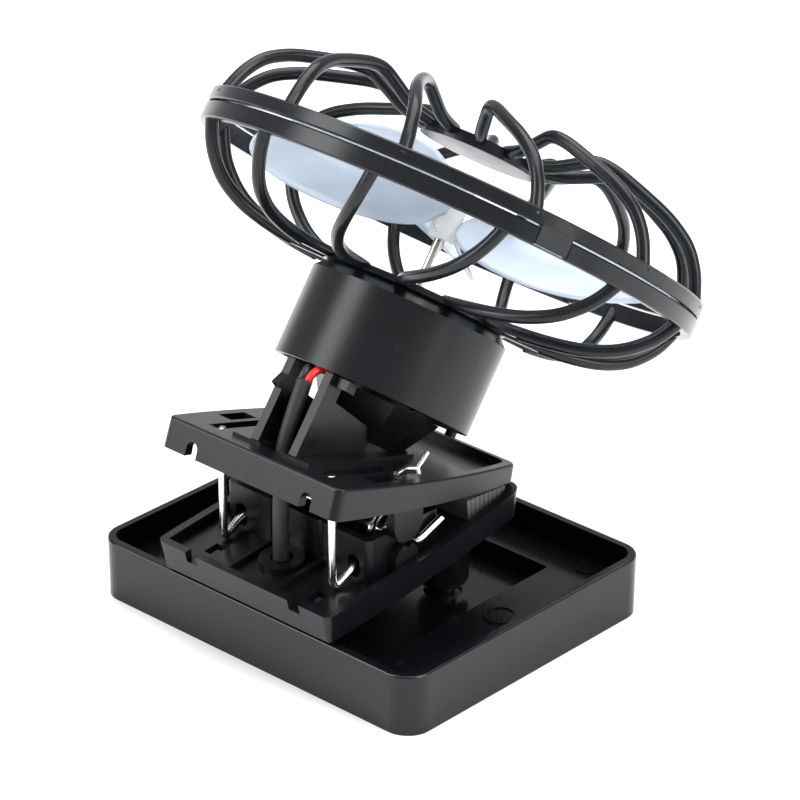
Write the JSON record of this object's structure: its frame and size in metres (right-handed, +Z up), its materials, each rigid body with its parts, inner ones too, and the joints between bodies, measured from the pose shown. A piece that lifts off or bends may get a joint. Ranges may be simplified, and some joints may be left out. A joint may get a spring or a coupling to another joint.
{
  "type": "clip-on solar fan",
  "caption": "Small fan in a round wire cage on a spring clip that hinges on ball studs above a solar panel housing.",
  "frame": {"origin": "centre of the panel housing's bottom face", "axes": "+Z up; X along the panel's long side; the clip's handles point to -Y and its gripping tips to +Y"},
  "size_m": [0.0988, 0.0984, 0.1081],
  "materials": {
    "black_plastic": "satin moulded ABS",
    "black_gloss": "glossy moulded ABS with a reflective floor",
    "blade": "translucent pale blue",
    "hub": "translucent white",
    "steel": "bright drawn wire and ground shaft",
    "motor_steel": "plated pressed steel",
    "magnet": "ferrite",
    "core": "laminated steel",
    "brass": "bright",
    "white_plastic": "plain",
    "cells": "dark blue silicon with fine fingers",
    "resin": "clear cast resin",
    "board": "fibreglass board",
    "pad_rubber": "ribbed soft rubber",
    "sleeve": "matte heat-shrink sleeve",
    "red_wire": "soft insulation",
    "black_wire": "soft insulation"
  },
  "bodies": {
    "panel": {"panel_housing": "black_gloss", "solar_cells": "cells", "clear_resin_face": "resin", "laminate_board": "board", "solder_pads": "brass"},
    "lower_clip": {"lower_jaw": "black_plastic", "lower_grip_pad": "pad_rubber", "pivot_pin": "steel", "left_spring": "steel", "right_spring": "steel", "lead_sleeve": "sleeve"},
    "upper_clip": {"upper_jaw": "black_plastic", "upper_grip_pad": "pad_rubber", "pedestal": "black_plastic", "pedestal_screws": "steel", "retaining_wire": "steel", "front_guard": "black_plastic", "rear_guard": "black_plastic", "motor_housing": "black_plastic", "motor_can": "motor_steel", "front_bush": "brass", "motor_end_cap": "white_plastic", "rear_bush": "brass", "motor_terminals": "brass", "motor_magnets": "magnet", "lead_sleeve_top": "sleeve", "red_wire": "red_wire", "black_wire": "black_wire"},
    "rotor": {"motor_shaft": "steel", "armature": "core", "commutator": "brass", "fan_hub": "hub", "fan_blades": "blade"}
  },
  "joints": [
    {"name": "panel_tilt", "type": "hinge", "parent": "panel", "child": "lower_clip", "pos_m": [0, 0.008, 0.0085], "axis": [1, 0, 0], "range_deg": [-25, 0], "deforming": ["lead_sleeve"]},
    {"name": "clip_open", "type": "hinge", "parent": "lower_clip", "child": "upper_clip", "pos_m": [0, -0.0113, 0.0244], "axis": [1, 0, 0], "range_deg": [0, 20], "stiffness_Nm_per_rad": 0.5, "springref_deg": -28.65, "deforming": ["left_spring", "right_spring", "lead_sleeve"]},
    {"name": "fan_spin", "type": "hinge", "parent": "upper_clip", "child": "rotor", "pos_m": [0, 0.02183, 0.0725], "axis": [0, 0.6011, 0.7992], "continuous": true}
  ]
}
